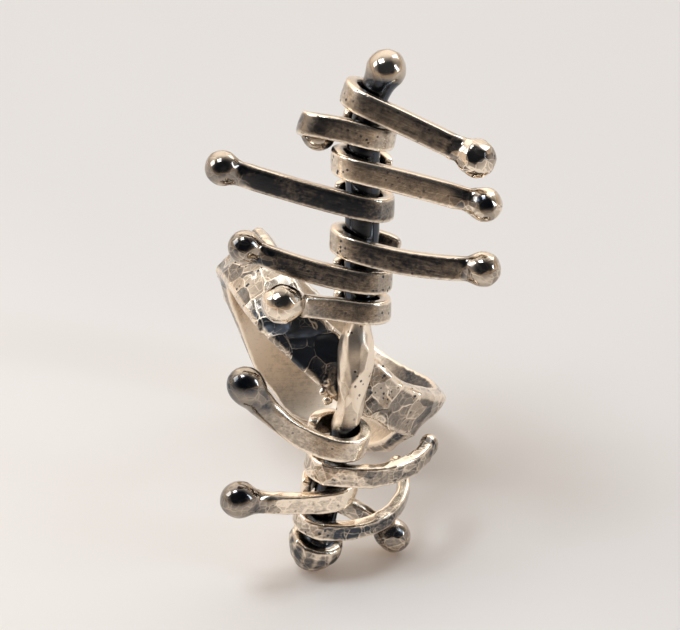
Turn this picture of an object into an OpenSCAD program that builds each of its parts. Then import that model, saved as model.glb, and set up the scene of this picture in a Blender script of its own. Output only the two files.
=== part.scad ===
// Knuckle armour ring: a hammered finger band set aslant, a forged spine rod soldered across its
// front, and flat ribs that are hooked round the rod and end in melted balls.
// Everything is set out on an upright face with X to the right, Y to the back and Z up, measured
// from the centre of the finger hole. The whole ring then leans back onto the foot of the rod,
// the ball of the lowest rib and the rear rim of the band.

/* [Finger band] */
// Radius of the finger hole
bore_r = 9.3; // [8.6:0.1:10.2]
// Thickness of the band's wall
band_wall = 1.35; // [1:0.05:1.8]
// Width of the band where it is widest, at the back
band_w = 8.8; // [7.4:0.2:9.6]
// Rounding of the band's outer edges
band_round = 0.3; // [0.1:0.05:0.5]
// Slant of the finger hole's axis from upright
band_slant = 42.5; // [30:0.5:50]

/* [Spine rod] */
// Height of the rod from its foot to its top ball, centre to centre
spine_h = 39.25; // [37:0.25:42]
// Height of the rod's foot below the centre of the finger hole
spine_foot = 15.95; // [15:0.05:17]
// Sideways run of the rod from its foot to its top ball
spine_sway = 5.98; // [4:0.1:8]
// How far the foot of the rod dips back behind the crossing
spine_dip = 5.8; // [5.2:0.1:6.4]
// Radius of the rod under the ribs
rod_r = 1.5; // [1.3:0.05:1.6]
// Radius of the ball on top of the rod
top_ball_r = 1.74; // [1.4:0.02:2]
// Radius of the swollen foot of the rod, at its rim
foot_r = 2.3; // [1.9:0.05:2.5]
// Depth that the rod is sunk into the band where it is soldered
solder_sink = 0.3; // [0.15:0.05:0.5]

/* [Ribs] */
// Height of a rib's flat face
rib_h = 2.05; // [1.7:0.05:2.15]
// Thickness of a rib
rib_t = 1.1; // [0.8:0.05:1.3]
// Gap between a rib and the rod
rib_gap = 0.12; // [0.08:0.02:0.2]
// Reach of the longest rib from the rod to the centre of its ball
rib_reach = 12; // [10:0.25:14]
// Radius of the largest rib ball
rib_ball_r = 1.78; // [1.4:0.02:2]

/* [Stance] */
// How far the face leans back from upright
lean = 40; // [38:0.5:42]

/* [Hidden] */
NODES = ["band_and_spine", "rib_1_right", "rib_2_left", "rib_3_right", "rib_4_left", "rib_5_right",
         "rib_6_left", "rib_7_left", "rib_8_left", "rib_9_right", "rib_10_left", "rib_11_right"];
RIBS = [for (i = [1:len(NODES) - 1]) NODES[i]];

silver = [0.52, 0.48, 0.43];
dark_silver = [0.34, 0.31, 0.28];

band_r = bore_r + band_wall;
// Where the rod crosses the band, sideways and to the front of the hole's centre
crossing_x = 0.31 * band_r;
crossing_y = -sqrt(pow(band_r, 2) - pow(crossing_x, 2)) - rod_r + solder_sink;

// Rims of the band: angle round the hole in degrees (0 lower right, 90 back, 180 upper left,
// 270 front), then the two rims' places above the band's centre line as shares of band_w.
RIM_COLUMNS = ["angle", "top", "bottom"];
RIMS = [
    [0, 0.545, 0.015],
    [13, 0.555, -0.198],
    [26, 0.561, -0.320],
    [40, 0.518, -0.406],
    [57, 0.459, -0.438],
    [77, 0.433, -0.582],
    [92, 0.443, -0.539],
    [104, 0.443, -0.507],
    [118, 0.449, -0.395],
    [130, 0.459, -0.294],
    [147, 0.470, -0.192],
    [163, 0.507, -0.101],
    [180, 0.539, -0.069],
    [207, 0.518, -0.085],
    [234, 0.422, -0.166],
    [252, 0.336, -0.192],
    [270, 0.310, -0.192],
    [295, 0.363, -0.190],
    [315, 0.363, -0.112],
    [335, 0.459, -0.035],
    [360, 0.545, 0.015],
];

// Course of the rod from its foot up: height as a share of spine_h, sideways place as a share of
// spine_sway, dip to the back as a share of spine_dip, and radius as a share of rod_r.
ROD_COLUMNS = ["at", "side", "dip", "wide"];
ROD = [
    [0.000, 0.020, 0.86, 0.80],
    [0.034, 0.085, 0.82, 0.80],
    [0.097, 0.175, 0.62, 0.80],
    [0.170, 0.265, 0.37, 0.78],
    [0.240, 0.390, 0.20, 0.68],
    [0.297, 0.500, 0.11, 0.76],
    [0.366, 0.557, 0.00, 0.94],
    [0.423, 0.585, -0.10, 0.99],
    [0.480, 0.636, -0.20, 0.62],
    [0.530, 0.640, -0.29, 0.94],
    [0.661, 0.667, -0.52, 1.00],
    [0.834, 0.680, -0.82, 1.00],
    [0.886, 0.722, -0.92, 0.90],
    [0.946, 0.820, -1.03, 0.88],
    [1.000, 1.000, -1.13, 1.05],
];

// Foot of the rod, from its flat top to its tip: depth under the top and radius, both as shares
// of foot_r.
FOOT_COLUMNS = ["down", "wide"];
FOOT = [
    [0.00, 0.90],
    [0.06, 0.97],
    [0.30, 1.00],
    [0.65, 0.93],
    [1.00, 0.77],
    [1.30, 0.52],
    [1.48, 0.20],
];
foot_at = 0.021;
foot_slope = 20;
foot_tilt = 38;

// The ribs from the top down. Seat on the rod as a share of spine_h; side the long arm goes to
// (1 right, -1 left); slope of the arm in degrees, down to its end; tilt of the rib's plane;
// height of the flat as a share of rib_h; width that the loop is opened by, lap of the hook past
// the middle of the back in degrees; reach of the arm as a share of rib_reach; bow of the arm to
// the front and drop at its end; radius of its ball; radius and angle of its end curl; reach of
// the rear arm as a share of rib_reach, and its ball; swing of the whole rib to the front in
// degrees; length of the ball's neck in radii of the ball. The rest are shares of rib_ball_r.
RIB_COLUMNS = ["at", "side", "slope", "tilt", "high", "open", "lap", "reach", "bow", "drop",
               "ball", "curl", "curl_angle", "rear", "rear_ball", "swing", "neck"];
RIB_TABLE = [
    [0.935, 1, 24, 16, 1.00, 0.00, 20, 0.81, 0.00, 0.15, 0.90, 0, 0, 0, 0, 0, 1.0],
    [0.877, -1, -18, 16, 1.00, 0.00, 60, 0.31, 0.00, 1.04, 0.74, 0.75, 195, 0, 0, 0, 1.0],
    [0.801, 1, 13, 16, 1.00, 0.00, 75, 0.88, 0.00, 0.20, 0.78, 0, 0, 0, 0, 0, 1.3],
    [0.726, -1, -14, 16, 1.00, 0.00, 75, 0.99, 0.00, -0.25, 0.80, 0, 0, 0, 0, 0, 1.3],
    [0.634, 1, 17, 16, 1.00, 0.00, 0, 0.85, 0.00, -0.95, 0.80, 0, 0, 0.26, 0, 0, 0.9],
    [0.571, -1, -9, 16, 0.96, 0.00, 75, 0.82, 0.00, -0.80, 0.76, 0, 0, 0, 0, 0, 1.0],
    [0.507, -1, -8, 16, 0.95, 0.00, 70, 0.54, 1.60, -0.35, 0.94, 0, 0, 0, 0, 0, 1.0],
    [0.236, -1, -14, 32, 0.96, 0.20, 85, 0.71, 0.20, -2.60, 0.90, 0, 0, 0, 0, 4, 2.0],
    [0.182, 1, 4, 34, 0.92, 0.08, 50, 0.12, 0.00, 0.00, 0.44, 3.50, 82, 0, 0, 0, 1.4],
    [0.126, -1, 0, 38, 0.90, 0.00, 85, 0.68, 0.00, -0.92, 0.90, 0, 0, 0, 0, 14, 1.7],
    [0.066, 1, 6, 42, 0.75, 0.00, 0, 0.03, 0.00, 0.00, 0.42, 3.40, 118, 0.50, 0.82, 0, 1.0],
];
function rib_value(r, name) = r[search([name], RIB_COLUMNS)[0]];
function rod_value(p, name) = p[search([name], ROD_COLUMNS)[0]];

// Curve through the rows of a table, at a place t counted in rows
function row(t, i) = t[max(0, min(len(t) - 1, i))];
function spline(t, at) =
    let(i = min(len(t) - 2, floor(at)), f = at - i,
        a = row(t, i - 1), b = row(t, i), c = row(t, i + 1), d = row(t, i + 2))
    0.5 * (2 * b + f * (c - a) + f * f * (2 * a - 5 * b + 4 * c - d)
           + f * f * f * (3 * b - a - 3 * c + d));
function unit(v) = v / norm(v);
function mix(a, b, f) = a * (1 - f) + b * f;
function clamp01(f) = max(0, min(1, f));
function ease(f) = let(g = clamp01(f)) g * g * (3 - 2 * g);

// Rounded section in the plane of two directions; square is 2 for an ellipse and more for a box
function section(centre, across, up, a, b, square, sides) = [
    for (k = [0:sides - 1])
        let(w = 360 * (k + 0.5) / sides, c = cos(w), s = sin(w))
        centre + across * a * sign(c) * pow(abs(c), 2 / square)
               + up * b * sign(s) * pow(abs(s), 2 / square)
];

// Closed skin over a list of sections
module skin(rings) {
    sides = len(rings[0]);
    last = len(rings) - 1;
    polyhedron(
        points = [for (r = rings) for (p = r) p],
        faces = concat(
            [[for (k = [0:sides - 1]) k]],
            [for (i = [0:last - 1]) for (k = [0:sides - 1])
                [i * sides + k, (i + 1) * sides + k, (i + 1) * sides + (k + 1) % sides]],
            [for (i = [0:last - 1]) for (k = [0:sides - 1])
                [i * sides + k, (i + 1) * sides + (k + 1) % sides, i * sides + (k + 1) % sides]],
            [[for (k = [sides - 1:-1:0]) last * sides + k]]),
        convexity = 6);
}

// How far a point of the face stands above the surface once the face leans
function rise(p) = p[2] * cos(lean) - p[1] * sin(lean);
// Axes of a plane set on the rod: along it, to its back and square to it
function plane_axes(side, slope, tilt) =
    let(q = side * slope)
    [[side * cos(q), 0, -side * sin(q)],
     [sin(tilt) * sin(q), cos(tilt), sin(tilt) * cos(q)],
     [cos(tilt) * sin(q), -sin(tilt), cos(tilt) * cos(q)]];

// Rod: centre line and radius from foot to top
rod_steps = 3;
ROD_LINE = [
    for (j = [0:(len(ROD) - 1) * rod_steps])
        let(s = spline(ROD, j / rod_steps))
        [rod_value(s, "side") * spine_sway, crossing_y + rod_value(s, "dip") * spine_dip,
         rod_value(s, "at") * spine_h - spine_foot, rod_value(s, "wide") * rod_r]
];
ROD_X = [for (p = ROD_LINE) [p[2], p[0]]];
ROD_Y = [for (p = ROD_LINE) [p[2], p[1]]];
ROD_R = [for (p = ROD_LINE) [p[2], p[3]]];
function rod_at(z) = [lookup(z, ROD_X), lookup(z, ROD_Y), z];
function rod_dir(z) = unit(rod_at(z + rod_r / 2) - rod_at(z - rod_r / 2));
function rod_radius(z) = lookup(z, ROD_R);

// Rings of the foot, which stands on its tip
round_sides = 12;
foot_axes = plane_axes(1, foot_slope, foot_tilt);
foot_top = rod_at(foot_at * spine_h - spine_foot);
foot_rings = [
    for (f = FOOT)
        section(foot_top - foot_axes[2] * f[0] * foot_r, foot_axes[0], foot_axes[1],
                f[1] * foot_r, f[1] * foot_r, 2, round_sides)
];
// Height of the centre of the finger hole above the surface that the ring stands on
stand_h = -min([for (ring = foot_rings) for (p = ring) rise(p)]);

module rod() {
    n = len(ROD_LINE);
    rings = [
        for (p = ROD_LINE)
            let(d = rod_dir(p[2]), across = unit(cross([0, 1, 0], d)))
            section([p[0], p[1], p[2]], across, cross(d, across), p[3], p[3], 2, round_sides)
    ];
    skin(rings);
    top = ROD_LINE[n - 1];
    ball([top[0], top[1], top[2]], rod_dir(top[2]), top_ball_r);
    skin([for (i = [len(foot_rings) - 1:-1:0]) foot_rings[i]]);
}

// Ball at a point, its rings square to a direction
BALL_RINGS = [for (w = [-78:12:78]) w];
module ball(centre, dir, r) {
    across = unit(cross([0.2, 1, 0.1], dir));
    skin([
        for (w = BALL_RINGS)
            section(centre + dir * r * sin(w), across, cross(dir, across),
                    r * cos(w), r * cos(w), 2, round_sides)
    ]);
}

// Rib: its course lies in its own plane, and is measured from the tail of the hook to the ball
loop_steps = 12;
arm_step = 1.2 * rib_t;
// Cuts through a ball, as shares of its radius from its centre back along the arm
BALL_CUTS = [1.35, 1.1, 0.95, 0.8, 0.55, 0.28, 0];
// Rounds that close a ball past its centre, in degrees
CAP_CUTS = [22, 45, 66, 82];
// Cuts through a tail that is filed round, as shares of rib_t, and the width left at its very end
TAIL_CUTS = [0, 0.12, 0.4, 0.9];
tail_end = 0.45;
strip_square = 7;
// Where past the loop the strip starts to turn to its own plane, and the length it takes
turn_start = 0.9 * rib_t;
turn_run = 3.6 * rib_t;
// Width of a ball's neck where it meets the ball, as a share of the ball's
neck_wide = 0.78;
// How late in an arm its drop sets in, and in a rear arm its sink
drop_power = 1.9;
sink_power = 1.6;

function rib_z(r) = rib_value(r, "at") * spine_h - spine_foot;
function rib_axes(r) = plane_axes(rib_value(r, "side"), rib_value(r, "slope"), rib_value(r, "tilt"));
// Widest radius of the rod that a rib's loop passes, above and below its seat
function rod_under(r) =
    let(span = rib_h / 2 + rod_r * sin(rib_value(r, "tilt")))
    max([for (f = [-1:0.25:1]) rod_radius(rib_z(r) + f * span)]);
// Radius of the strip's middle where it hugs the rod, and where the loop is opened
function hug_r(r) =
    (rod_under(r) + rib_gap) / (rod_dir(rib_z(r)) * rib_axes(r)[2]) + rib_t / 2;
function open_r(r) = rib_value(r, "open") * rib_ball_r;
function loop_r(r) = hug_r(r) + open_r(r);
function ball_r(r) = rib_value(r, "ball") * rib_ball_r;
function rear_ball_r(r) = rib_value(r, "rear_ball") * rib_ball_r;
function rear_run(r) = rib_value(r, "rear") * rib_reach;
function loop_turn(r) = 180 + rib_value(r, "lap");
function loop_run(r) = loop_r(r) * loop_turn(r) * PI / 180;
function arm_run(r) = rib_value(r, "reach") * rib_reach;
function curl_r(r) = rib_value(r, "curl") * rib_ball_r;
function curl_run(r) = curl_r(r) * rib_value(r, "curl_angle") * PI / 180;
function loop_end(r) = rear_run(r) + loop_run(r);
function total_run(r) = loop_end(r) + arm_run(r) + curl_run(r);
function course(r, run) =
    let(p = straight_course(r, run), w = rib_value(r, "swing"))
    [p[0] * cos(w) + p[1] * sin(w), p[1] * cos(w) - p[0] * sin(w)];
function straight_course(r, run) =
    let(lr = loop_r(r), open = open_r(r), le = loop_end(r), ar = arm_run(r))
    run < rear_run(r) ? [open + rear_run(r) - run, lr - open]
    : run < le ? let(w = 270 - (le - run) / lr * 180 / PI) [open + lr * cos(w), lr * sin(w) - open]
    : run <= le + ar ? let(f = (run - le) / ar)
        [open + run - le, -lr - open - rib_value(r, "bow") * rib_ball_r * f * f]
    : let(w = (run - le - ar) / curl_r(r) * 180 / PI)
        [open + ar + curl_r(r) * sin(w), -lr - open + curl_r(r) * (1 - cos(w))];
// Runs at which the rib is cut: closer together round the rod and through its balls
function stations(r) =
    let(total = total_run(r), le = loop_end(r), rear = rear_run(r), br = ball_r(r), rb = rear_ball_r(r),
        arm = total - BALL_CUTS[0] * br - le, arm_n = ceil(arm / arm_step),
        rear_from = BALL_CUTS[0] * rb, rear_n = ceil((rear - rear_from) / arm_step))
    concat(
        rb > 0 ? [for (i = [len(BALL_CUTS) - 1:-1:1]) BALL_CUTS[i] * rb] : [for (c = TAIL_CUTS) c * rib_t],
        [for (i = [0:rear > 0 ? rear_n - 1 : -1])
            let(run = rear_from + (rear - rear_from) * i / rear_n) if (rb > 0 || run > rib_t) run],
        [for (i = [0:loop_steps - 1])
            let(run = rear + (le - rear) * i / loop_steps) if (rear > 0 || run > rib_t) run],
        [for (i = [0:arm_n - 1]) le + arm * i / arm_n],
        [for (c = BALL_CUTS) total - c * br]);
// Part of the strip's width that is left where its tail is filed round
function tail_width(run) = mix(tail_end, 1, sqrt(1 - pow(1 - clamp01(run / rib_t), 2)));
// Half width of a ball and its neck at a distance from the ball's centre, and of the whole rib there
function ball_half(r, from, neck) =
    max(from < r ? sqrt(r * r - from * from) : 0, neck_wide * r * exp(-pow(from / (neck * r), 2)));
function swollen(half, r, from, neck) = pow(pow(half, 3) + pow(ball_half(r, from, neck), 3), 1 / 3);
// How far a rear arm's end has to sink out of its plane for its ball to touch the surface
function rear_sink(end, up, r) = (rise(end) + stand_h - r) / rise(up);

module rib(r) {
    seat = rod_at(rib_z(r));
    ax = rib_axes(r);
    runs = stations(r);
    n = len(runs);
    le = loop_end(r);
    total = total_run(r);
    br = ball_r(r);
    rear = rear_run(r);
    rb = rear_ball_r(r);
    tail = course(r, 0);
    drop = rib_value(r, "drop") * rib_ball_r;
    sink = rb > 0 ? rear_sink(seat + ax[0] * tail[0] + ax[1] * tail[1], ax[2], rb) : 0;
    line = [for (run = runs)
        let(p = course(r, run), f = clamp01((run - le) / (total - le)),
            g = rb > 0 ? clamp01(1 - run / rear) : 0)
        seat + ax[0] * p[0] + ax[1] * p[1] - ax[2] * (drop * pow(f, drop_power) + sink * pow(g, sink_power))];
    half_t = rib_t / 2;
    half_h = rib_value(r, "high") * rib_h / 2;
    // Each section: centre, its two directions, its two half widths and its squareness
    cuts = [
        for (i = [0:n - 1])
            let(along = unit(line[min(n - 1, i + 1)] - line[max(0, i - 1)]),
                free = ease((runs[i] - le - turn_start) / turn_run)
                     + (rear > 0 ? ease((rear - turn_start - runs[i]) / turn_run) : 0),
                up = unit(mix(rod_dir(seat[2]), ax[2], clamp01(free))),
                across = unit(cross(along, up)),
                at_rear = rb > 0 && runs[i] < rear / 2,
                from = at_rear ? runs[i] : total - runs[i],
                r_end = at_rear ? rb : br,
                neck = rib_value(r, "neck"),
                melted = ease(2 * ball_half(r_end, from, neck) / half_h),
                left = rb > 0 ? 1 : tail_width(runs[i]))
            [line[i], across, cross(across, along), left * swollen(half_t, r_end, from, neck),
             left * swollen(half_h, r_end, from, neck), mix(strip_square, 2, melted)]
    ];
    caps = [for (w = CAP_CUTS) cap(cuts[n - 1], unit(line[n - 1] - line[n - 2]), br, w)];
    rear_caps = [for (w = rb > 0 ? CAP_CUTS : []) cap(cuts[0], unit(line[0] - line[1]), rb, w)];
    skin(concat([for (k = [len(rear_caps) - 1:-1:0]) rear_caps[k]],
                [for (c = cuts) section(c[0], c[1], c[2], c[3], c[4], c[5], round_sides)], caps));
}
function cap(c, out, r, w) =
    section(c[0] + out * r * sin(w), c[1], c[2], c[3] * cos(w), c[4] * cos(w), 2, round_sides);

// Band: a ring with wandering rims, its inside bored true
band_steps = 96;
// Swell of the wall's outside between its rims, and where it begins and ends
band_swell = 0.03 * band_wall;
swell_from = 0.35;
// Part of the wall that is left inside for the bore to cut away
bore_waste = band_wall / 3;
function rim_at(w) =
    let(angles = [for (r = RIMS) r[search(["angle"], RIM_COLUMNS)[0]]],
        i = max([for (k = [0:len(RIMS) - 2]) angles[k] <= w ? k : 0]),
        s = spline(RIMS, i + (w - angles[i]) / (angles[i + 1] - angles[i])))
    [for (name = ["top", "bottom"]) s[search([name], RIM_COLUMNS)[0]] * band_w];
module band_ring() {
    rims = [for (j = [0:band_steps - 1]) rim_at(360 * j / band_steps)];
    inner = bore_r - bore_waste;
    swell_r = band_r + band_swell;
    rings = [
        for (j = [0:band_steps - 1])
            let(w = 360 * j / band_steps, top = rims[j][0], bottom = rims[j][1],
                profile = [[inner, bottom], [band_r - band_round, bottom], [band_r, bottom + band_round],
                           [swell_r, mix(bottom, top, swell_from)], [swell_r, mix(top, bottom, swell_from)],
                           [band_r, top - band_round], [band_r - band_round, top], [inner, top]])
            [for (p = profile) [p[0] * cos(w), p[0] * sin(w), p[1]]]
    ];
    sides = len(rings[0]);
    polyhedron(
        points = [for (r = rings) for (p = r) p],
        faces = concat(
            [for (i = [0:band_steps - 1]) for (k = [0:sides - 1])
                [i * sides + k, i * sides + (k + 1) % sides,
                 ((i + 1) % band_steps) * sides + (k + 1) % sides]],
            [for (i = [0:band_steps - 1]) for (k = [0:sides - 1])
                [i * sides + k, ((i + 1) % band_steps) * sides + (k + 1) % sides,
                 ((i + 1) % band_steps) * sides + k]]),
        convexity = 6);
}

module stand() {
    rotate([-lean, 0, 0]) children();
}

module band_and_spine() {
    color(silver) stand() difference() {
        union() {
            rotate([0, band_slant, 0]) band_ring();
            rod();
        }
        rotate([0, band_slant, 0]) cylinder(r = bore_r, h = 3 * band_w, center = true, $fn = band_steps);
    }
}

module rib_node(i) {
    color(dark_silver) stand() rib(RIB_TABLE[i]);
}

band_and_spine();
for (i = [0:len(RIBS) - 1]) {
    rib_node(i);
}
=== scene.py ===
import math

import bmesh
import bpy
from mathutils import Matrix, Vector


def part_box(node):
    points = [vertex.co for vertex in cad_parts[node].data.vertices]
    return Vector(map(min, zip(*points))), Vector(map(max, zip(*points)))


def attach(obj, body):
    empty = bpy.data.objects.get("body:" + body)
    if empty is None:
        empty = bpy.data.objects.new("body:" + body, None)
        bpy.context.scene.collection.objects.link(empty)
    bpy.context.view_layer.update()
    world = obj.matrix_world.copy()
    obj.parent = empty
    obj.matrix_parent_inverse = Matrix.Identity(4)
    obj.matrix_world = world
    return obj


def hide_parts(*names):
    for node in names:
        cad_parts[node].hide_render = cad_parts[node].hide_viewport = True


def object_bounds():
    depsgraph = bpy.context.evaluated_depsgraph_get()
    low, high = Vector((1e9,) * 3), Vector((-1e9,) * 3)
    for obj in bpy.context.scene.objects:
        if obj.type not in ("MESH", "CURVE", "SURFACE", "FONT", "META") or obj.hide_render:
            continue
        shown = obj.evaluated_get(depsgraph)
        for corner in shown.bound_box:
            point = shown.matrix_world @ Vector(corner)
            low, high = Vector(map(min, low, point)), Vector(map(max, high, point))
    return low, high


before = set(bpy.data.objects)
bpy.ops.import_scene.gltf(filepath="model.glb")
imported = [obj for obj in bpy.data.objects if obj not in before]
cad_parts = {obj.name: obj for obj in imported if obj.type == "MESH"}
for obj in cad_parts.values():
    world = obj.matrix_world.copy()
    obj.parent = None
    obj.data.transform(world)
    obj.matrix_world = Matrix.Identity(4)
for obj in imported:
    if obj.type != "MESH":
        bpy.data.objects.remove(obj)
cad_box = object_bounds()

# Studio: a pale warm board, soft cool lights to the left, above, behind and to the right, a dim
# room on the camera's side, and a camera that looks down on the ring at the picture's angle.
MM = 0.001
CAMERA_TILT = math.radians(40)
CAMERA_DISTANCE = 1.2
CLIP_START = 0.01
PIXELS_PER_MM = 12.1
PICTURE_WIDTH = 680
SENSOR_WIDTH = 36
AIM_RIGHT = 2.17 * MM
AIM_UP = 3.15 * MM
AIM_DEEP = -9 * MM
FLOOR_Z = min(corner[2] for corner in cad_box)
RING = Vector((0, 0, 5 * MM))
RIGHT = Vector((1, 0, 0))
UP = Vector((0, 0, 1))

look = Vector((0, math.cos(CAMERA_TILT), -math.sin(CAMERA_TILT)))
lift = Vector((0, math.sin(CAMERA_TILT), math.cos(CAMERA_TILT)))
aim = RIGHT * AIM_RIGHT + lift * AIM_UP + look * AIM_DEEP
camera = bpy.data.objects.new("camera", bpy.data.cameras.new("camera"))
camera.data.sensor_width = SENSOR_WIDTH
camera.data.lens = CAMERA_DISTANCE * SENSOR_WIDTH / (PICTURE_WIDTH / PIXELS_PER_MM * MM)
camera.data.clip_start = CLIP_START
camera.location = aim - look * CAMERA_DISTANCE
camera.rotation_euler = look.to_track_quat("-Z", "Y").to_euler()
bpy.context.collection.objects.link(camera)
bpy.context.scene.camera = camera
bpy.context.scene.view_settings.view_transform = "Standard"


def add(tree, kind, values=(), **settings):
    """A node with its settings, and its inputs set by name or linked."""
    made = tree.nodes.new(kind)
    for key, value in settings.items():
        setattr(made, key, value)
    for key, value in dict(values).items():
        if isinstance(value, bpy.types.NodeSocket):
            tree.links.new(value, made.inputs[key])
        else:
            made.inputs[key].default_value = value
    return made


def maths(tree, operation, *values, clamp=False):
    """Output of one sum on numbers or sockets."""
    made = add(tree, "ShaderNodeMath", dict(enumerate(values)), operation=operation)
    made.use_clamp = clamp
    return made.outputs[0]


def less(tree, value):
    """One minus a number."""
    return maths(tree, "SUBTRACT", 1.0, value)


def times(tree, first, *others):
    """Product of numbers or sockets."""
    for other in others:
        first = maths(tree, "MULTIPLY", first, other)
    return first


def vector(tree, operation, first, second=None):
    """Output of one vector sum: a number for a length or a dot product, else a vector."""
    values = {0: first}
    if second is not None:
        values["Scale" if operation == "SCALE" else 1] = second
    made = add(tree, "ShaderNodeVectorMath", values, operation=operation)
    return made.outputs["Value" if operation in ("LENGTH", "DOT_PRODUCT") else "Vector"]


def toward(tree, place, way):
    """How far a place or a direction reaches along a way."""
    return vector(tree, "DOT_PRODUCT", place, way)


def blend(tree, value, low, high):
    """Smooth 0 to 1 as a value goes from low to high."""
    return add(tree, "ShaderNodeMapRange", {"Value": value, "From Min": low, "From Max": high},
               interpolation_type="SMOOTHSTEP").outputs["Result"]


def fade(tree, value, low, high):
    """Smooth 1 to 0 as a value goes from low to high."""
    return less(tree, blend(tree, value, low, high))


def tint(tree, amount, low, high):
    """Colour between two colours or sockets."""
    return add(tree, "ShaderNodeMix", {0: amount, 6: low, 7: high}, data_type="RGBA").outputs[2]


def choose(tree, amount, low, high):
    """Number between two numbers or sockets."""
    return add(tree, "ShaderNodeMix", {0: amount, 2: low, 3: high}).outputs[0]


def noise(tree, place, cells, detail, rough):
    """Number between 0 and 1 that drifts over a place, with so many cells in a metre."""
    return add(tree, "ShaderNodeTexNoise",
               {"Vector": place, "Scale": cells, "Detail": detail, "Roughness": rough}).outputs[0]


BOARD = (0.665, 0.678, 0.680, 1)
BOARD_FLECK = (0.650, 0.662, 0.664, 1)
# Board where the painted pool of light is fullest
BOARD_PAINTED_POOL = (0.755, 0.757, 0.750, 1)
BOARD_GRAIN = (60.0, 3.0, 0.5)
# Painted light: the board grows paler toward the front left, as a pool of light falling there; the
# way in which it grows paler, and the stretch over which it does
PAINTED_POOL_WAY = (-0.7, -0.7, 0.0)
PAINTED_POOL_STRETCH = (-12 * MM, 26 * MM)
BOARD_ROUGH = 0.9
BOARD_SHEEN = 0.1
# Painted light: the board glows a little and warm, standing in for fill light from all of a room,
# so that its shadows stay pale
BOARD_PAINTED_FILL = (1.0, 0.62, 0.36, 1)
BOARD_PAINTED_FILL_STRENGTH = 0.14
BOARD_REACH = 1.2

board = bpy.data.materials.new("pale_board")
board.use_nodes = True
tree = board.node_tree
place = add(tree, "ShaderNodeTexCoord").outputs["Object"]
plain = tint(tree, noise(tree, place, *BOARD_GRAIN), BOARD, BOARD_FLECK)
# Painted light: paler toward the front left, as a pool of light
painted_pool = blend(tree, toward(tree, place, PAINTED_POOL_WAY), *PAINTED_POOL_STRETCH)
shader = tree.nodes["Principled BSDF"]
tree.links.new(tint(tree, painted_pool, plain, BOARD_PAINTED_POOL), shader.inputs["Base Color"])
shader.inputs["Roughness"].default_value = BOARD_ROUGH
shader.inputs["Specular IOR Level"].default_value = BOARD_SHEEN
# Painted light: a weak warm glow of the board stands in for fill light
shader.inputs["Emission Color"].default_value = BOARD_PAINTED_FILL
shader.inputs["Emission Strength"].default_value = BOARD_PAINTED_FILL_STRENGTH
board_corners = [(x * BOARD_REACH, y * BOARD_REACH, FLOOR_Z)
                 for x, y in ((-1, -1), (1, -1), (1, 1), (-1, 1))]
board_mesh = bpy.data.meshes.new("board")
board_mesh.from_pydata(board_corners, [], [(0, 1, 2, 3)])
board_mesh.materials.append(board)
table = bpy.data.objects.new("table", board_mesh)
bpy.context.collection.objects.link(table)

# Lights: place and size in metres, power in watts, and colour
COOL = (0.88, 0.94, 1.0)
LIGHTS = {
    "window": ((-0.34, 0.0, 0.24), (0.18, 0.18), 0.36, COOL),
    "roof_light": ((-0.12, -0.02, 0.40), (0.12, 0.12), 0.56, COOL),
    "far_window": ((0.26, 0.24, 0.26), (0.16, 0.24), 0.24, (0.80, 0.90, 1.0)),
    "right_strip": ((0.33, -0.08, 0.14), (0.05, 0.20), 0.24, (0.70, 0.85, 1.0)),
}
for name, (spot, size, power, colour) in LIGHTS.items():
    light = bpy.data.objects.new(name, bpy.data.lights.new(name, "AREA"))
    light.data.shape = "RECTANGLE"
    light.data.size, light.data.size_y = size
    light.data.energy = power
    light.data.color = colour
    light.location = spot
    light.rotation_euler = (RING - Vector(spot)).to_track_quat("-Z", "Y").to_euler()
    bpy.context.collection.objects.link(light)

# The room that the metal mirrors: dark behind the camera, pale far off and to the left, with the
# board's warm light at the horizon. Ranges are cosines from the ways that are named.
ROOM_DARK = (0.040, 0.043, 0.050, 1)
ROOM_DIM = (0.34, 0.31, 0.28, 1)
ROOM_PALE = (1.36, 1.27, 1.17, 1)
HORIZON_LIGHT = (0.98, 0.78, 0.60, 1)
BEHIND_CAMERA = (0.85, 0.05)
FAR_WAY, FAR = (-0.15, 0.75, 0.64), (0.2, 0.95)
LEFT_WAY, LEFT, LEFT_SHARE = (-0.94, -0.25, 0.22), (0.45, 0.95), 0.42
HORIZON, HORIZON_SHARE = (0.0, 0.32), 0.65

world = bpy.data.worlds.new("studio")
bpy.context.scene.world = world
world.use_nodes = True
tree = world.node_tree
way = add(tree, "ShaderNodeTexCoord").outputs["Generated"]
far_wall = blend(tree, toward(tree, way, FAR_WAY), *FAR)
left_wall = times(tree, blend(tree, toward(tree, way, LEFT_WAY), *LEFT), LEFT_SHARE)
glow = tint(tree, maths(tree, "MAXIMUM", far_wall, left_wall), ROOM_DIM, ROOM_PALE)
level = tint(tree, blend(tree, toward(tree, way, -look), *BEHIND_CAMERA), ROOM_DARK, glow)
horizon = times(tree, fade(tree, toward(tree, way, UP), *HORIZON), HORIZON_SHARE)
tree.links.new(tint(tree, horizon, level, HORIZON_LIGHT),
               tree.nodes["Background"].inputs["Color"])

# Finger band and spine: a strip of silver hammered over a mandrel and closed, with a forged rod
# soldered across its front. Every blow left a dished facet with a ridge round it, while the inside
# is smooth from the mandrel. The whole was oxidised and its high places were rubbed bright.
HOLE_AXIS = Vector((0.6756, 0.4739, 0.5648))
BAND_OUTSIDE = 10.65 * MM
# Distances from the hole's axis over which the inside turns to the outside, the blows reach their
# depth, and the band turns to the rod
INSIDE = (9.35 * MM, 9.75 * MM)
SKIN = (10.2 * MM, 10.55 * MM)
ROD_FROM = (10.78 * MM, 11.3 * MM)
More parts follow.
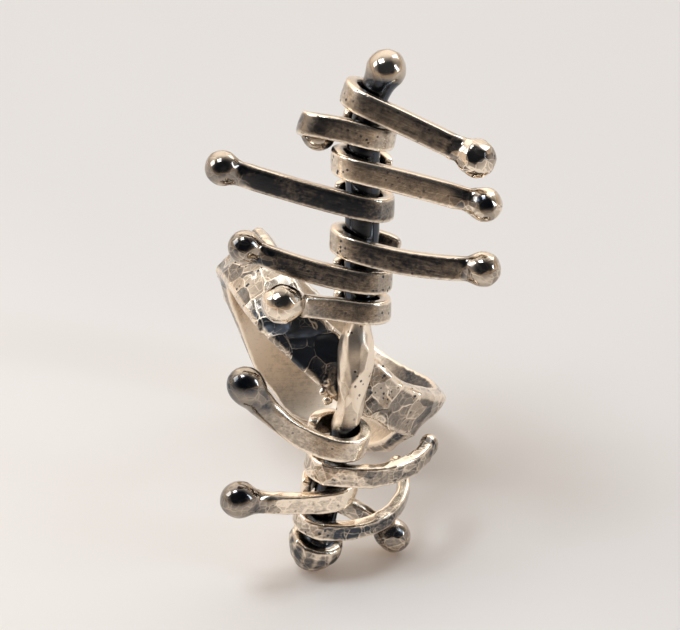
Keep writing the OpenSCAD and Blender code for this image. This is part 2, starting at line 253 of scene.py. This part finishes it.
# Heights on the face between which the rod is a bright faceted bar, and where its ends begin
BAR_FROM = (-7.0 * MM, -5.6 * MM)
BAR_TO = (3.0 * MM, 4.4 * MM)
BALL_NECK = (21.2 * MM, 23.4 * MM)
FOOT_NECK = (-14.8 * MM, -13.6 * MM)
# Hammer blows: width, seed, and how far the ridges between them wander
BAND_BLOWS = (1.9 * MM, 3.1, 0.7)
ROD_BLOWS = (1.25 * MM, 8.4, 0.5)
CRACKLE = (0.75 * MM, 6.3, 0.9)
# Cells in a blow's width and detail of the noise that the ridges wander by, and the share of a
# seed that goes along the second axis
WANDER = (0.9, 2.0)
SEED_TURN = 0.7
# Share of the rod's height at which its blows are laid out, which draws them out along it
ROD_STRETCH = 0.36
# Square of the distance from a blow's middle at which the skin is neither pushed in nor out
BLOW_LEVEL = 0.3
BAND_DENT = 0.42 * MM
ROD_DENT = 0.45 * MM
# Share of the rod's dent where the rod is dark, and what is added where it is plain
DARK_DENT = 0.10
PLAIN_DENT = 0.20
# Distance within which corners are merged, and width of the even skin's mesh
MERGE = 1e-7
BAND_VOXEL = 0.146 * MM
# Passes of smoothing: all over, where the skin is calm, and to find what stands proud
BAND_PASSES = (1, 16, 6)
# Distance to the next piece within which the metal is darkened, as oxide that no polishing cloth
# reaches and as painted shade in the gap
TIGHT = (0.12 * MM, 0.7 * MM)
# A long edge of a strip: how sharp it stays, its angles, and the share of its run across the strip
# from which it isn't one
LONG_EDGE = 0.6
LONG_EDGE_ANGLES = (math.radians(33), math.radians(50))
CROSS_EDGE = 0.8
# Levels of division of a curved solid and of a bead of solder
COURSE_LEVELS = 2
BEAD_LEVELS = 2


def apart(tree, place, spot):
    """Distance between two places."""
    return vector(tree, "LENGTH", vector(tree, "SUBTRACT", place, spot))


def turned(tree, place, *ways):
    """Place as it is measured along three ways."""
    return add(tree, "ShaderNodeCombineXYZ",
               {axis: toward(tree, place, way) for axis, way in zip("XYZ", ways)}).outputs[0]


def centred(tree, value):
    """Number between 0 and 1 made to lie on both sides of 0."""
    return maths(tree, "SUBTRACT", value, 0.5)


def total(tree, start, *parts):
    """Start plus each part times its weight."""
    for part, weight in parts:
        start = maths(tree, "MULTIPLY_ADD", part, weight, start)
    return start


def limited(tree, value):
    """Number kept between 0 and 1."""
    return maths(tree, "ADD", value, 0.0, clamp=True)


def facets(tree, place, width, seed, warp):
    """Blows: how far from a blow's middle and from the ridge round it, and how hard it hit."""
    spot = vector(tree, "SCALE", place, 1 / width)
    spot = vector(tree, "ADD", spot, (seed, seed * SEED_TURN, -seed))
    push = add(tree, "ShaderNodeTexNoise",
               {"Vector": spot, "Scale": WANDER[0], "Detail": WANDER[1]}).outputs["Color"]
    spot = {"Vector": vector(tree, "ADD", spot, vector(tree, "SCALE", push, warp)), "Scale": 1.0}
    blow = add(tree, "ShaderNodeTexVoronoi", spot).outputs
    ridge = add(tree, "ShaderNodeTexVoronoi", spot, feature="DISTANCE_TO_EDGE").outputs
    return blow["Distance"], ridge["Distance"], toward(tree, blow["Color"], RIGHT)


def dished(tree, middle, depth):
    """Push of a blow: in at its middle and out at the ridge round it."""
    return times(tree, maths(tree, "SUBTRACT", times(tree, middle, middle), BLOW_LEVEL), depth)


def on_band(right, up):
    """Point of the band's outside that is seen at a place of the face."""
    start = RIGHT * right + lift * up
    flat = start - HOLE_AXIS * start.dot(HOLE_AXIS)
    step = look - HOLE_AXIS * look.dot(HOLE_AXIS)
    half = flat.dot(step) / step.dot(step)
    rest = (flat.dot(flat) - BAND_OUTSIDE ** 2) / step.dot(step)
    return start + look * (-half - math.sqrt(max(0.0, half * half - rest)))


def keep(tree, geometry, name, value, kind="FLOAT"):
    """Geometry with a value stored at its points for the metal."""
    return add(tree, "GeometryNodeStoreNamedAttribute",
               {"Geometry": geometry, "Name": name, "Value": value},
               data_type=kind, domain="POINT").outputs[0]


def smoothed(tree, place, passes, weight=1.0):
    """Places of the points after passes of smoothing."""
    return add(tree, "GeometryNodeBlurAttribute",
               {"Value": place, "Iterations": passes, "Weight": weight},
               data_type="FLOAT_VECTOR").outputs[0]


def moved(tree, geometry, **where):
    """Geometry with its points at another position or at an offset."""
    return add(tree, "GeometryNodeSetPosition", {"Geometry": geometry, **where}).outputs[0]


def finish_tree(name, inputs, shape, calm, passes):
    """Geometry Nodes that round a solid, most where it is calm, mark what stands proud, faces up
    (for painted light on top faces) or lies close to another piece (for oxide and painted shade in
    gaps), push its skin by a shape and dress it."""
    tree = bpy.data.node_groups.new(name, "GeometryNodeTree")
    sockets = {"Geometry": "Geometry", **inputs, "Rest": "Object", "Metal": "Material"}
    for key, kind in sockets.items():
        tree.interface.new_socket(key, in_out="INPUT", socket_type="NodeSocket" + kind)
    tree.interface.new_socket("Geometry", in_out="OUTPUT", socket_type="NodeSocketGeometry")
    given = tree.nodes.new("NodeGroupInput").outputs
    place = tree.nodes.new("GeometryNodeInputPosition").outputs[0]
    normal = tree.nodes.new("GeometryNodeInputNormal").outputs[0]
    work = moved(tree, given["Geometry"], Position=smoothed(tree, place, passes[0]))
    drawn = smoothed(tree, place, passes[1], calm(tree, place, given))
    work = moved(tree, work, Position=drawn)
    step = vector(tree, "SUBTRACT", place, smoothed(tree, place, passes[2]))
    work = keep(tree, work, "proud", times(tree, toward(tree, step, normal), 1 / MM))
    # Painted light: how far a face turns up, so that top faces can be painted lighter
    work = keep(tree, work, "upward", toward(tree, normal, lift))
    rest = add(tree, "GeometryNodeObjectInfo", {"Object": given["Rest"]}).outputs["Geometry"]
    gap = add(tree, "GeometryNodeProximity", {"Geometry": rest}, target_element="FACES")
    # Closeness to another piece, for darkening gaps as oxide and painted shade
    work = keep(tree, work, "tight", fade(tree, gap.outputs["Distance"], *TIGHT))
    push, marks = shape(tree, place, given)
    for key, (value, kind) in marks.items():
        work = keep(tree, work, key, value, kind)
    work = moved(tree, work, Offset=vector(tree, "SCALE", normal, push))
    work = add(tree, "GeometryNodeSetShadeSmooth", {"Geometry": work}).outputs[0]
    work = add(tree, "GeometryNodeRealizeInstances", {"Geometry": work}).outputs[0]
    dressed = add(tree, "GeometryNodeSetMaterial",
                  {"Geometry": work, "Material": given["Metal"]}).outputs[0]
    add(tree, "NodeGroupOutput", {0: dressed})
    return tree


def finish(node, voxel, tree, inputs, beads=(), curved=False):
    """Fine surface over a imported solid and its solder: merged, remeshed evenly and finished by a
    tree. A curved solid is drawn through its cuts as a smooth course first."""
    name = node + "_metal"
    mesh = bpy.data.meshes.new(name)
    bm = bmesh.new()
    bm.from_mesh(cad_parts[node].data)
    bmesh.ops.remove_doubles(bm, verts=bm.verts, dist=MERGE)
    if curved:
        bmesh.ops.join_triangles(bm, faces=bm.faces, angle_face_threshold=math.pi,
                                 angle_shape_threshold=math.pi)
        crease = bm.edges.layers.float.new("crease_edge")
        for edge in bm.edges:
            run = (edge.verts[1].co - edge.verts[0].co).normalized()
            sharp = LONG_EDGE_ANGLES[0] < edge.calc_face_angle(0) < LONG_EDGE_ANGLES[1]
            edge[crease] = LONG_EDGE if sharp and abs(run.dot(inputs["Up"])) < CROSS_EDGE else 0
    for spot, radius in beads:
        bmesh.ops.create_icosphere(bm, subdivisions=BEAD_LEVELS, radius=radius,
                                   matrix=Matrix.Translation(spot))
    bm.to_mesh(mesh)
    bm.clear()
    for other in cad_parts:
        if other != node:
            bm.from_mesh(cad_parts[other].data)
    rest_mesh = bpy.data.meshes.new(name + "_rest")
    bm.to_mesh(rest_mesh)
    bm.free()
    rest = bpy.data.objects.new(name + "_rest", rest_mesh)
    blank = bpy.data.objects.new(name + "_blank", mesh)
    for helper in (rest, blank):
        bpy.context.collection.objects.link(helper)
    if curved:
        blank.modifiers.new("course", "SUBSURF").levels = COURSE_LEVELS
    skin = blank.modifiers.new("even_skin", "REMESH")
    skin.mode = "VOXEL"
    skin.voxel_size = voxel
    work = blank.modifiers.new("work", "NODES")
    work.node_group = tree
    values = {**inputs, "Rest": rest}
    for item in tree.interface.items_tree:
        if item.in_out == "INPUT" and item.name in values:
            work[item.identifier] = values[item.name]
    graph = bpy.context.evaluated_depsgraph_get()
    finished = bpy.data.meshes.new_from_object(blank.evaluated_get(graph), depsgraph=graph)
    piece = bpy.data.objects.new(name, finished)
    bpy.context.collection.objects.link(piece)
    bpy.data.objects.remove(blank)
    bpy.data.objects.remove(rest)
    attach(piece, "root")
    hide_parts(node)


def band_parts(tree, place):
    """Distance from the hole's axis, masks of the outside, the rod, its bar and its dark parts,
    and the blows on the band and on the rod."""
    far = vector(tree, "LENGTH", vector(tree, "CROSS_PRODUCT", place, HOLE_AXIS))
    high = toward(tree, place, lift)
    outer = blend(tree, far, *INSIDE)
    rod = times(tree, blend(tree, far, *ROD_FROM), outer)
    bar = times(tree, blend(tree, high, *BAR_FROM), fade(tree, high, *BAR_TO))
    ends = maths(tree, "ADD", blend(tree, high, *BALL_NECK), fade(tree, high, *FOOT_NECK))
    plain = less(tree, maths(tree, "ADD", bar, ends))
    sheltered = maths(tree, "MULTIPLY", rod, plain, clamp=True)
    band = facets(tree, place, *BAND_BLOWS)
    drawn_out = vector(tree, "MULTIPLY", turned(tree, place, RIGHT, look, lift),
                       (1.0, 1.0, ROD_STRETCH))
    return far, outer, rod, bar, sheltered, band, facets(tree, drawn_out, *ROD_BLOWS)


def band_calm(tree, place, given):
    """Where the forged rod is drawn round: all of it but its foot."""
    rod = band_parts(tree, place)[2]
    return times(tree, rod, blend(tree, toward(tree, place, lift), *FOOT_NECK))


def band_shape(tree, place, given):
    """Dished facets outside, long ones on the bar, slight ones on the rest of the rod, and none
    in the hole."""
    far, _, rod, bar, sheltered, band, forged = band_parts(tree, place)
    slight = maths(tree, "MULTIPLY_ADD", less(tree, sheltered), PLAIN_DENT, DARK_DENT)
    rod_dent = times(tree, given["Rod dent"], choose(tree, bar, slight, 1.0))
    band_dent = times(tree, given["Band dent"], blend(tree, far, *SKIN))
    return choose(tree, rod, dished(tree, band[0], band_dent),
                  dished(tree, forged[0], rod_dent)), {}


# Silver from black with oxide through half rubbed to bright, and the near-black of narrow gaps,
# which is oxide and painted shade
SILVER = ((0.058, 0.066, 0.080, 1), (0.47, 0.40, 0.325, 1), (1.0, 0.865, 0.71, 1))
GAP_OXIDE_AND_SHADE = (0.018, 0.018, 0.020, 1)
GAP_OXIDE_AND_SHADE_SHARE = 0.75
# Drift of the patina, flecks, scratches and patches of pits: cells in a metre, detail, roughness
CLOUD = (260.0, 4.0, 0.6)
FLECK = (2600.0, 3.0, 0.75)
SCRATCH = (8000.0, 2.0, 0.7)
SCRATCH_RUN = (0.06, 1.0, 1.0)
PIT_PATCH = (520.0, 2.0, 0.5)
PIT_PATCH_EDGE = (0.46, 0.58)
PIT_CELLS = 1900.0
PIT_EDGE = (0.14, 0.30)
# Where ridges and edges stand proud and hollows lie low, in mm, and how upright a top face is,
# which gets painted light as if lit from above
WORN = (0.006, 0.034)
HOLLOW = (-0.006, -0.045)
PAINTED_TOP_FACE = (0.60, 0.80)
# What each mark adds to the polish, which goes from 0 for black to 1 for bright
CLOUD_POLISH = 0.8
FLECK_POLISH = 0.8
SCRATCH_POLISH = 0.5
WORN_POLISH = 0.6
LINE_POLISH = 0.7
PAINTED_TOP_LIGHT = 0.9
HOLLOW_POLISH = -1.0
GAP_OXIDE_AND_SHADE_POLISH = -0.9
PIT_POLISH = -1.2
# Roughness that the patina's drift adds, and the relief of scratches and flecks
CLOUD_ROUGH = 0.12
SCRATCH_RELIEF = 0.35
FLECK_RELIEF = 0.30
BUMP = {"Strength": 0.6, "Distance": 0.025 * MM}


def mark(tree, key, output="Fac"):
    """Value that was stored at the points of a skin."""
    return add(tree, "ShaderNodeAttribute", attribute_name=key).outputs[output]


def silver_metal(name):
    """Start of a silver material: it, its tree, and the object's own places."""
    material = bpy.data.materials.new(name)
    material.use_nodes = True
    tree = material.node_tree
    tree.nodes["Principled BSDF"].inputs["Metallic"].default_value = 1.0
    return material, tree, add(tree, "ShaderNodeTexCoord").outputs["Object"]


def lay_silver(tree, place, rub, lines, flat, pitting, rough):
    """Patina under a rubbed-up polish which also carries painted shade where it is given, with
    bright lines and edges, faces turned up painted lighter, black gaps that are oxide and painted
    shade, pits and fine scratches. Scratches run along the first axis of the place."""
    shader = tree.nodes["Principled BSDF"]
    dark, mid, bright = SILVER
    proud, upward, tight = [mark(tree, key) for key in ("proud", "upward", "tight")]
    cloud = noise(tree, place, *CLOUD)
    fleck = noise(tree, place, *FLECK)
    scratch = noise(tree, vector(tree, "MULTIPLY", place, SCRATCH_RUN), *SCRATCH)
    pits = add(tree, "ShaderNodeTexVoronoi", {"Vector": place, "Scale": PIT_CELLS})
    patch = blend(tree, noise(tree, place, *PIT_PATCH), *PIT_PATCH_EDGE)
    pitted = times(tree, fade(tree, pits.outputs["Distance"], *PIT_EDGE), patch, pitting)
    grain = times(tree, centred(tree, fleck), FLECK_POLISH)
    grain = total(tree, grain, (centred(tree, scratch), SCRATCH_POLISH))
    # Painted light and shade: faces turned up are painted brighter as if lit from above, and narrow
    # gaps darker, partly as shade
    polish = total(tree, rub, (centred(tree, cloud), CLOUD_POLISH), (grain, flat),
                   (blend(tree, proud, *WORN), WORN_POLISH), (lines, LINE_POLISH),
                   (times(tree, blend(tree, upward, *PAINTED_TOP_FACE), flat), PAINTED_TOP_LIGHT),
                   (blend(tree, proud, *HOLLOW), HOLLOW_POLISH), (tight, GAP_OXIDE_AND_SHADE_POLISH),
                   (pitted, PIT_POLISH))
    polish = limited(tree, polish)
    low = tint(tree, maths(tree, "MULTIPLY", polish, 2.0, clamp=True), dark, mid)
    base = tint(tree, maths(tree, "MULTIPLY_ADD", polish, 2.0, -1.0, clamp=True), low, bright)
    # Near-black in narrow gaps: oxide, and painted shade
    base = tint(tree, times(tree, tight, GAP_OXIDE_AND_SHADE_SHARE), base, GAP_OXIDE_AND_SHADE)
    tree.links.new(base, shader.inputs["Base Color"])
    tree.links.new(total(tree, rough, (cloud, CLOUD_ROUGH)), shader.inputs["Roughness"])
    relief = total(tree, times(tree, scratch, SCRATCH_RELIEF), (fleck, FLECK_RELIEF))
    relief = maths(tree, "SUBTRACT", times(tree, relief, flat), pitted)
    bump = add(tree, "ShaderNodeBump", {"Height": relief, **BUMP}).outputs[0]
    tree.links.new(bump, shader.inputs["Normal"])


# Widths of the bright lines between blows and of the crackle, as shares of a cell
BAND_LINE = 0.045
CRACK_LINE = 0.07
ROD_LINE = 0.06
# How bright the crackle and the dark rod's lines are, and what the painted shade round the joint
# adds to its lines
CRACK_SHARE = 0.45
ROD_LINE_SHARE = 0.4
JOINT_SHADE_LINE_GAIN = 0.55
# Noise that breaks the lines, and its values over which they come back
LINE_BREAK = (420.0, 2.0, 0.5)
BAND_LINE_BREAK = (0.36, 0.54)
# Painted shade: the band is painted darker round its joint with the rod, as shadow: its middle on
# the face, and its reach
JOINT_SHADE = (-1.4 * MM, 1.6 * MM)
JOINT_SHADE_REACH = (2.0 * MM, 5.6 * MM)
# Stretch to the right over which the inside grows dark
ASIDE = (4.0 * MM, 9.0 * MM)
# Polish of the band, the rod, its bar and its ball, and what blows, the painted shade round the
# joint and shelter add
BAND_POLISH = 0.32
ROD_POLISH = 0.02
BAR_POLISH = 0.82
KNOB_POLISH = 0.34
BLOW_POLISH = 0.55
JOINT_SHADE_POLISH = -0.78
SHELTERED_POLISH = -0.85
INSIDE_POLISH = (0.95, 0.05)
# Roughness of each, and what the painted shade round the joint adds
BAND_ROUGH = 0.18
BAR_ROUGH = 0.28
INSIDE_ROUGH = 0.32
JOINT_SHADE_ROUGH = 0.14
MELTED_ROUGH = 0.05
# Share of the brushing on the melted rod, inside and outside the band, and of the pits outside
MELTED_FLAT = 0.1
BRUSHED = (0.9, 0.5)
PITTED = 0.9

band_silver, tree, place = silver_metal("band_silver")
_, outer, rod, bar, sheltered, band, forged = band_parts(tree, place)
crack = facets(tree, place, *CRACKLE)[1]
knob = times(tree, rod, blend(tree, toward(tree, place, lift), *BALL_NECK))
melted = maths(tree, "MAXIMUM", sheltered, knob)
# Painted shade: darker round the joint of band and rod
joint_shade = fade(tree, apart(tree, place, on_band(*JOINT_SHADE)), *JOINT_SHADE_REACH)
joint_shade = times(tree, joint_shade, outer, less(tree, rod))

crack_line = times(tree, fade(tree, crack, 0.0, CRACK_LINE), CRACK_SHARE)
band_line = maths(tree, "MAXIMUM", fade(tree, band[1], 0.0, BAND_LINE), crack_line)
broken = blend(tree, noise(tree, place, *LINE_BREAK), *BAND_LINE_BREAK)
rod_line = times(tree, fade(tree, forged[1], 0.0, ROD_LINE),
                 choose(tree, bar, ROD_LINE_SHARE, 1.0))
line = choose(tree, rod, times(tree, band_line, broken), rod_line)
line = times(tree, line, outer, less(tree, sheltered), less(tree, knob),
             total(tree, 1.0, (joint_shade, JOINT_SHADE_LINE_GAIN)))

struck = centred(tree, choose(tree, rod, band[2], forged[2]))
rub = choose(tree, rod, BAND_POLISH, choose(tree, bar, ROD_POLISH, BAR_POLISH))
aside = blend(tree, toward(tree, place, RIGHT), *ASIDE)
rub = choose(tree, outer, choose(tree, aside, *INSIDE_POLISH),
             total(tree, rub, (struck, BLOW_POLISH)))
rub = total(tree, rub, (joint_shade, JOINT_SHADE_POLISH), (sheltered, SHELTERED_POLISH))
rub = choose(tree, knob, rub, KNOB_POLISH)
flat = choose(tree, melted, 1.0, MELTED_FLAT)
rough = choose(tree, times(tree, rod, bar), BAND_ROUGH, BAR_ROUGH)
rough = total(tree, choose(tree, melted, rough, MELTED_ROUGH), (joint_shade, JOINT_SHADE_ROUGH))
rough = choose(tree, outer, INSIDE_ROUGH, rough)
lay_silver(tree, place, rub, line, times(tree, flat, choose(tree, outer, *BRUSHED)),
           times(tree, flat, outer, PITTED), rough)

# Solder that ran out of the joint: right and up on the face, and radius, in mm
SOLDER = [(1.10, -2.47, 0.29), (0.69, -3.22, 0.23), (1.10, -3.88, 0.26), (-1.55, -7.18, 0.22)]
band_work = finish_tree("band_hammering", {"Band dent": "Float", "Rod dent": "Float"},
                        band_shape, band_calm, BAND_PASSES)
finish("band_and_spine", BAND_VOXEL, band_work,
       {"Band dent": BAND_DENT, "Rod dent": ROD_DENT, "Metal": band_silver},
       [(on_band(right * MM, up * MM), radius * MM) for right, up, radius in SOLDER])

# Ribs: flat strips, each hooked round the spine and held with solder. The free end was run back
# with a torch until it drew up into a ball, and the flats were rubbed along their length.
RIB_VOXEL = 0.085 * MM
RIB_PASSES = (2, 12, 12)
# Blows on a rib and finer marks of its rubbing: width, seed and wander
RIB_BLOWS = (1.3 * MM, 5.2, 0.8)
RUB_MARKS = (0.8 * MM, 2.6, 0.9)
RUB_MARK_RUN = (0.5, 1.0, 1.0)
# Noise that the strip waves by, and its depth
WAVE = (380.0, 2.0, 0.5)
WAVE_DEPTH = 0.07 * MM
# Way and step by which the grain of one rib is shifted from the next one's
SEED_WAY = (1.0, 0.6, 0.3)
SEED_STEP = 0.137
# Distances from a ball's middle and from a loop over which each gives way to the strip
BALL = (1.8 * MM, 3.0 * MM)
BALL_RADIUS = 1.8 * MM
BALL_REACH = 4.6 * MM
BEND = (1.2 * MM, 4.4 * MM)
# Depths of a rib's ends over which the middle of its ball and of its loop are taken
BALL_END = 2.2 * MM
LOOP_END = 0.8 * MM
# Dent from which facets show in the metal in full, and the polish that a bend adds
SHOWN_DENT = 0.2 * MM
BEND_POLISH = 0.32
# Painted shade: a ball is painted darker where it faces the camera, as a painted reflection of the
# dark room, and where it faces the left, as shade: cosines, and what they add to its polish
FRONT_SHADE_FACING, FRONT_SHADE_POLISH = (0.70, 0.98), -0.35
LEFT_SHADE_FACING, LEFT_SHADE_POLISH = (0.25, 0.85), -0.25


def rib_calm(tree, place, given):
    """Where a rib is drawn round: its melted ball."""
    return fade(tree, apart(tree, place, given["Ball"]), *BALL)


def rib_shape(tree, place, given):
    """Slight waves along the strip, and shallow facets that deepen toward the melted end."""
    strip = turned(tree, place, given["Along"], given["Up"], given["Across"])
    strip = vector(tree, "ADD", strip, vector(tree, "SCALE", SEED_WAY, given["Seed"]))
    end = apart(tree, place, given["Ball"])
    melted = fade(tree, end, given["Ball radius"], given["Ball reach"])
    bend = fade(tree, apart(tree, place, given["Loop"]), *BEND)
    depth = choose(tree, melted, given["Dent"], given["Ball dent"])
    wave = times(tree, centred(tree, noise(tree, strip, *WAVE)), given["Wave"])
    dish = dished(tree, facets(tree, place, *RIB_BLOWS)[0], depth)
    normal = tree.nodes.new("GeometryNodeInputNormal").outputs[0]
    # Painted shade: the ball's polish is lowered where it faces the camera and the left
    ball_rub_and_shade = total(tree, given["Ball rub"],
                     (blend(tree, toward(tree, normal, -look), *FRONT_SHADE_FACING), FRONT_SHADE_POLISH),
                     (blend(tree, toward(tree, normal, -RIGHT), *LEFT_SHADE_FACING), LEFT_SHADE_POLISH))
    strip_rub = total(tree, given["Rub"], (bend, BEND_POLISH))
    return maths(tree, "ADD", wave, dish), {
        "strip": (strip, "FLOAT_VECTOR"), "melted": (melted, "FLOAT"), "bend": (bend, "FLOAT"),
        "rub": (choose(tree, melted, strip_rub, ball_rub_and_shade), "FLOAT"),
        "facets": (times(tree, depth, 1 / SHOWN_DENT), "FLOAT")}


# Widths of the lines between blows and between rubbing marks, as shares of a cell, how bright the
# finer ones are, and the noise over which they come back
RIB_LINE = 0.05
RUB_LINE = 0.08
RUB_LINE_SHARE = 0.85
RIB_LINE_BREAK = (0.36, 0.56)
# Polish that a full facet adds, roughness of strip and ball, and share of pits away from a bend
RIB_BLOW_POLISH = 0.5
STRIP_ROUGH = 0.17
BALL_ROUGH = 0.06
STRAIGHT_PITS = 0.3

rib_silver, tree, place = silver_metal("rib_silver")
strip = mark(tree, "strip", "Vector")
melted, bend, rub, faceted = [mark(tree, key) for key in ("melted", "bend", "rub", "facets")]
blow = facets(tree, place, *RIB_BLOWS)
dab = facets(tree, vector(tree, "MULTIPLY", strip, RUB_MARK_RUN), *RUB_MARKS)
fine = times(tree, fade(tree, dab[1], 0.0, RUB_LINE), RUB_LINE_SHARE)
line = maths(tree, "MAXIMUM", fade(tree, blow[1], 0.0, RIB_LINE), fine)
broken = blend(tree, noise(tree, strip, *LINE_BREAK), *RIB_LINE_BREAK)
line = times(tree, line, limited(tree, faceted), broken)
struck = maths(tree, "SUBTRACT", maths(tree, "ADD", blow[2], dab[2]), 1.0)
shown = maths(tree, "MULTIPLY", faceted, RIB_BLOW_POLISH, clamp=True)
flat = less(tree, melted)
lay_silver(tree, strip, total(tree, rub, (struck, shown)), line, flat,
           times(tree, flat, choose(tree, bend, STRAIGHT_PITS, 1.0)),
           choose(tree, melted, STRIP_ROUGH, BALL_ROUGH))
rib_inputs = {key: "Vector" for key in ("Along", "Up", "Across", "Ball", "Loop")}
rib_inputs |= {key: "Float" for key in ("Seed", "Wave", "Dent", "Ball dent", "Ball radius",
                                        "Ball reach", "Rub", "Ball rub")}
rib_work = finish_tree("rib_forging", rib_inputs, rib_shape, rib_calm, RIB_PASSES)

# Columns: side of the arm, slope in degrees, dent of the flat and of the ball in mm, polish of both
RIBS = {
    "rib_1_right": (1, 24, 0.01, 0.28, 0.22, 0.42),
    "rib_2_left": (-1, -18, 0.01, 0.06, 0.28, 0.40),
    "rib_3_right": (1, 13, 0.01, 0.14, 0.40, 0.46),
    "rib_4_left": (-1, -14, 0.00, 0.08, 0.00, 0.34),
    "rib_5_right": (1, 12, 0.01, 0.10, 0.18, 0.38),
    "rib_6_left": (-1, -14, 0.00, 0.08, 0.16, 0.30),
    "rib_7_left": (-1, -8, 0.00, 0.14, 0.26, 0.60),
    "rib_8_left": (-1, -24, 0.03, 0.06, 0.52, 0.20),
    "rib_9_right": (1, 4, 0.14, 0.14, 0.38, 0.20),
    "rib_10_left": (-1, -2, 0.14, 0.06, 0.74, 0.18),
    "rib_11_right": (1, 6, 0.14, 0.06, 0.12, 0.56),
}
for count, (node, values) in enumerate(RIBS.items()):
    side, slope, dent, ball_dent, polish, ball_polish = values
    low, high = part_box(node)
    points = [vertex.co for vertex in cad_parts[node].data.vertices]
    tip, back = (high[0], low[0]) if side > 0 else (low[0], high[0])
    ball = [point for point in points if abs(point.x - tip) < BALL_END]
    loop = [point for point in points if abs(point.x - back) < LOOP_END]
    turn = side * math.radians(slope)
    drop = -math.sin(turn) * side
    along = Vector((side * math.cos(turn), drop * lift.y, drop * lift.z))
    finish(node, RIB_VOXEL, rib_work, {
        "Along": along, "Up": look.cross(along), "Across": look,
        "Seed": count * SEED_STEP, "Wave": WAVE_DEPTH,
        "Dent": dent * MM, "Ball dent": ball_dent * MM,
        "Ball": sum(ball, Vector()) / len(ball), "Loop": sum(loop, Vector()) / len(loop),
        "Ball radius": BALL_RADIUS, "Ball reach": BALL_REACH,
        "Rub": polish, "Ball rub": ball_polish, "Metal": rib_silver}, curved=True)
